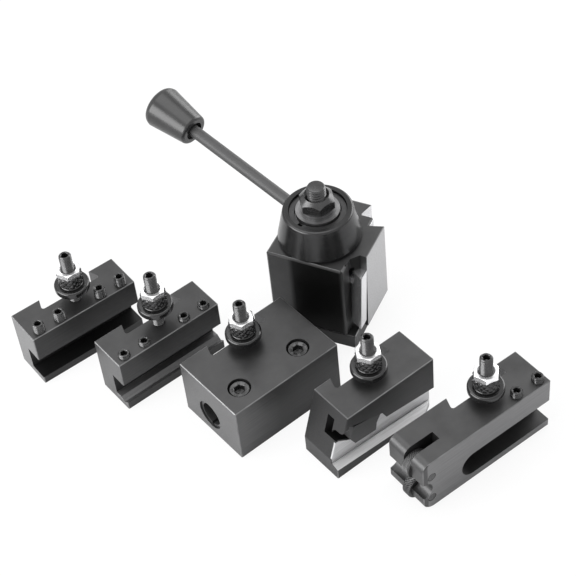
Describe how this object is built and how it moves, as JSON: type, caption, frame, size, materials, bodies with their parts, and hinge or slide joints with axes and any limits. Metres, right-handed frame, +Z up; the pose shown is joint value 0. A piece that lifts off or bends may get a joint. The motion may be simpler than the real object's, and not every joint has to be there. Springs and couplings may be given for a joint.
{
  "type": "tool post with holders",
  "caption": "Quick-change lathe tool post with lever, wedge clamps and a set of dovetail holders for turning, boring, parting and knurling tools.",
  "frame": {"origin": "on the post's vertical axis, at the underside of its nut plate, which is the surface that the whole set stands on", "axes": "+Z up along the post's stud, +Y along the line of the holders towards their notched backs, +X to the right along the holders' length"},
  "size_m": [0.1688, 0.2403, 0.0917],
  "materials": {
    "black_oxide": "satin black oxide",
    "hub_black": "satin black oxide, turned",
    "screw_black": "oiled black screw steel",
    "knurled_black": "black oxide, knurled",
    "zinc": "bright zinc",
    "bright_steel": "ground bright",
    "plain_steel": "turned steel",
    "knob_black": "moulded black, satin gloss"
  },
  "bodies": {
    "base": {"nut_plate": "black_oxide", "centre_stud": "screw_black"},
    "post": {"post_block": "black_oxide", "clamp_sleeve": "plain_steel"},
    "hub": {"hub_cone": "hub_black", "hub_screw": "screw_black", "hub_retaining_ring": "plain_steel", "lever_rod": "hub_black", "lever_knob": "knob_black"},
    "lift_nut": {"lift_nut": "screw_black"},
    "wedge_right": {"wedge_right": "bright_steel"},
    "wedge_back": {"wedge_back": "bright_steel"},
    "centre_nut": {"centre_nut": "screw_black"},
    "turning_holder": {"turning_holder_body": "black_oxide", "turning_height_stud": "screw_black"},
    "turning_thumb_nut": {"turning_thumb_nut": "knurled_black"},
    "turning_lock_nut": {"turning_lock_nut": "zinc"},
    "vee_holder": {"vee_holder_body": "black_oxide", "vee_height_stud": "screw_black"},
    "vee_thumb_nut": {"vee_thumb_nut": "knurled_black"},
    "vee_lock_nut": {"vee_lock_nut": "zinc"},
    "bar_holder": {"bar_holder_body": "black_oxide", "bar_height_stud": "screw_black", "bar_cotter_1": "plain_steel", "bar_cotter_2": "plain_steel"},
    "bar_thumb_nut": {"bar_thumb_nut": "knurled_black"},
    "bar_lock_nut": {"bar_lock_nut": "zinc"},
    "parting_holder": {"parting_holder_body": "black_oxide", "parting_height_stud": "screw_black"},
    "parting_thumb_nut": {"parting_thumb_nut": "knurled_black"},
    "parting_lock_nut": {"parting_lock_nut": "zinc"},
    "knurling_holder": {"knurling_holder_body": "black_oxide", "knurling_height_stud": "screw_black", "knurling_lower_pin": "screw_black", "knurling_upper_pin": "screw_black"},
    "knurling_thumb_nut": {"knurling_thumb_nut": "knurled_black"},
    "knurling_lock_nut": {"knurling_lock_nut": "zinc"},
    "turning_set_screw_1": {"turning_set_screw_1": "screw_black"},
    "turning_set_screw_2": {"turning_set_screw_2": "screw_black"},
    "turning_set_screw_3": {"turning_set_screw_3": "screw_black"},
    "turning_set_screw_4": {"turning_set_screw_4": "screw_black"},
    "vee_set_screw_1": {"vee_set_screw_1": "screw_black"},
    "vee_set_screw_2": {"vee_set_screw_2": "screw_black"},
    "vee_set_screw_3": {"vee_set_screw_3": "screw_black"},
    "vee_set_screw_4": {"vee_set_screw_4": "screw_black"},
    "knurling_set_screw_1": {"knurling_set_screw_1": "screw_black"},
    "knurling_set_screw_2": {"knurling_set_screw_2": "screw_black"},
    "bar_cap_screw_1": {"bar_cap_screw_1": "screw_black"},
    "bar_cap_screw_2": {"bar_cap_screw_2": "screw_black"},
    "bar_split_sleeve": {"bar_split_sleeve": "plain_steel"},
    "parting_blade_clamp": {"parting_blade_clamp": "black_oxide"},
    "parting_clamp_screw": {"parting_clamp_screw": "screw_black"},
    "knurling_lower_wheel": {"knurling_lower_wheel": "knurled_black"},
    "knurling_upper_wheel": {"knurling_upper_wheel": "knurled_black"}
  },
  "joints": [
    {"name": "post_swivel", "type": "hinge", "parent": "base", "child": "post", "pos_m": [0, 0, 0.03], "axis": [0, 0, 1], "range_deg": [-50, 20]},
    {"name": "hub_turn", "type": "hinge", "parent": "post", "child": "hub", "pos_m": [0, 0, 0.06], "axis": [0, 0, 1], "range_deg": [-100, 5]},
    {"name": "nut_lift", "type": "slide", "parent": "post", "child": "lift_nut", "axis": [0, 0, 1], "range_m": [-0.0003, 0.0041]},
    {"name": "wedge_right_lift", "type": "slide", "parent": "post", "child": "wedge_right", "axis": [0.0636, 0.0326, 0.9974], "range_m": [-0.0003, 0.0041]},
    {"name": "wedge_back_lift", "type": "slide", "parent": "post", "child": "wedge_back", "axis": [0.0326, -0.0636, 0.9974], "range_m": [-0.0003, 0.0041]},
    {"name": "centre_nut_turn", "type": "hinge", "parent": "base", "child": "centre_nut", "pos_m": [0, 0, 0.079], "axis": [0, 0, 1], "range_deg": [0, 90]},
    {"name": "turning_holder_lift", "type": "slide", "parent": "base", "child": "turning_holder", "axis": [0, 0, 1], "range_m": [0, 0.035]},
    {"name": "turning_thumb_nut_run", "type": "slide", "parent": "turning_holder", "child": "turning_thumb_nut", "axis": [0, 0, -1], "range_m": [0, 0.0071]},
    {"name": "turning_lock_nut_run", "type": "slide", "parent": "turning_holder", "child": "turning_lock_nut", "axis": [0, 0, 1], "range_m": [0, 0.008]},
    {"name": "vee_holder_lift", "type": "slide", "parent": "base", "child": "vee_holder", "axis": [0, 0, 1], "range_m": [0, 0.035]},
    {"name": "vee_thumb_nut_run", "type": "slide", "parent": "vee_holder", "child": "vee_thumb_nut", "axis": [0, 0, -1], "range_m": [0, 0.0097]},
    {"name": "vee_lock_nut_run", "type": "slide", "parent": "vee_holder", "child": "vee_lock_nut", "axis": [0, 0, 1], "range_m": [0, 0.008]},
    {"name": "bar_holder_lift", "type": "slide", "parent": "base", "child": "bar_holder", "axis": [0, 0, 1], "range_m": [0, 0.035]},
    {"name": "bar_thumb_nut_run", "type": "slide", "parent": "bar_holder", "child": "bar_thumb_nut", "axis": [0, 0, -1], "range_m": [0, 0.0042]},
    {"name": "bar_lock_nut_run", "type": "slide", "parent": "bar_holder", "child": "bar_lock_nut", "axis": [0, 0, 1], "range_m": [0, 0.008]},
    {"name": "parting_holder_lift", "type": "slide", "parent": "base", "child": "parting_holder", "axis": [0, 0, 1], "range_m": [0, 0.035]},
    {"name": "parting_thumb_nut_run", "type": "slide", "parent": "parting_holder", "child": "parting_thumb_nut", "axis": [0, 0, -1], "range_m": [0, 0.0034]},
    {"name": "parting_lock_nut_run", "type": "slide", "parent": "parting_holder", "child": "parting_lock_nut", "axis": [0, 0, 1], "range_m": [0, 0.008]},
    {"name": "knurling_holder_lift", "type": "slide", "parent": "base", "child": "knurling_holder", "axis": [0, 0, 1], "range_m": [0, 0.035]},
    {"name": "knurling_thumb_nut_run", "type": "slide", "parent": "knurling_holder", "child": "knurling_thumb_nut", "axis": [0, 0, -1], "range_m": [0, 0.0037]},
    {"name": "knurling_lock_nut_run", "type": "slide", "parent": "knurling_holder", "child": "knurling_lock_nut", "axis": [0, 0, 1], "range_m": [0, 0.008]},
    {"name": "turning_set_screw_1_run", "type": "slide", "parent": "turning_holder", "child": "turning_set_screw_1", "axis": [0, 0, -1], "range_m": [0, 0.012]},
    {"name": "turning_set_screw_2_run", "type": "slide", "parent": "turning_holder", "child": "turning_set_screw_2", "axis": [0, 0, -1], "range_m": [0, 0.012]},
    {"name": "turning_set_screw_3_run", "type": "slide", "parent": "turning_holder", "child": "turning_set_screw_3", "axis": [0, 0, -1], "range_m": [0, 0.012]},
    {"name": "turning_set_screw_4_run", "type": "slide", "parent": "turning_holder", "child": "turning_set_screw_4", "axis": [0, 0, -1], "range_m": [0, 0.012]},
    {"name": "vee_set_screw_1_run", "type": "slide", "parent": "vee_holder", "child": "vee_set_screw_1", "axis": [0, 0, -1], "range_m": [0, 0.012]},
    {"name": "vee_set_screw_2_run", "type": "slide", "parent": "vee_holder", "child": "vee_set_screw_2", "axis": [0, 0, -1], "range_m": [0, 0.012]},
    {"name": "vee_set_screw_3_run", "type": "slide", "parent": "vee_holder", "child": "vee_set_screw_3", "axis": [0, 0, -1], "range_m": [0, 0.012]},
    {"name": "vee_set_screw_4_run", "type": "slide", "parent": "vee_holder", "child": "vee_set_screw_4", "axis": [0, 0, -1], "range_m": [0, 0.012]},
    {"name": "knurling_set_screw_1_run", "type": "slide", "parent": "knurling_holder", "child": "knurling_set_screw_1", "axis": [0, 0, -1], "range_m": [0, 0.012]},
    {"name": "knurling_set_screw_2_run", "type": "slide", "parent": "knurling_holder", "child": "knurling_set_screw_2", "axis": [0, 0, -1], "range_m": [0, 0.012]},
    {"name": "bar_cap_screw_1_turn", "type": "hinge", "parent": "bar_holder", "child": "bar_cap_screw_1", "pos_m": [-0.0796, -0.03478, 0.026], "axis": [0, 0, 1], "range_deg": [0, 180]},
    {"name": "bar_cap_screw_2_turn", "type": "hinge", "parent": "bar_holder", "child": "bar_cap_screw_2", "pos_m": [-0.04351, -0.03396, 0.026], "axis": [0, 0, 1], "range_deg": [0, 180]},
    {"name": "bar_sleeve_pull", "type": "slide", "parent": "bar_holder", "child": "bar_split_sleeve", "axis": [-0.9997, -0.0227, 0], "range_m": [0, 0.03]},
    {"name": "clamp_screw_turn", "type": "hinge", "parent": "parting_holder", "child": "parting_clamp_screw", "pos_m": [-0.04425, -0.07287, 0.0246], "axis": [-0.0105, 0.9999, 0], "range_deg": [0, 728]},
    {"name": "blade_clamp_draw", "type": "slide", "parent": "parting_holder", "child": "parting_blade_clamp", "axis": [0.0105, -0.9999, 0], "range_m": [0, 0.0016]},
    {"name": "knurling_lower_wheel_spin", "type": "hinge", "parent": "knurling_holder", "child": "knurling_lower_wheel", "pos_m": [-0.04167, -0.11737, 0.0072], "axis": [0.0175, 0.9998, 0], "continuous": true},
    {"name": "knurling_upper_wheel_spin", "type": "hinge", "parent": "knurling_holder", "child": "knurling_upper_wheel", "pos_m": [-0.04167, -0.11737, 0.0226], "axis": [0.0175, 0.9998, 0], "continuous": true}
  ],
  "couplings": [
    {"joint": "nut_lift", "follows": "hub_turn", "m_per_rad": -0.0022918},
    {"joint": "wedge_right_lift", "follows": "hub_turn", "m_per_rad": -0.0022918},
    {"joint": "wedge_back_lift", "follows": "hub_turn", "m_per_rad": -0.0022918},
    {"joint": "clamp_screw_turn", "follows": "blade_clamp_draw", "rad_per_m": 7854}
  ]
}
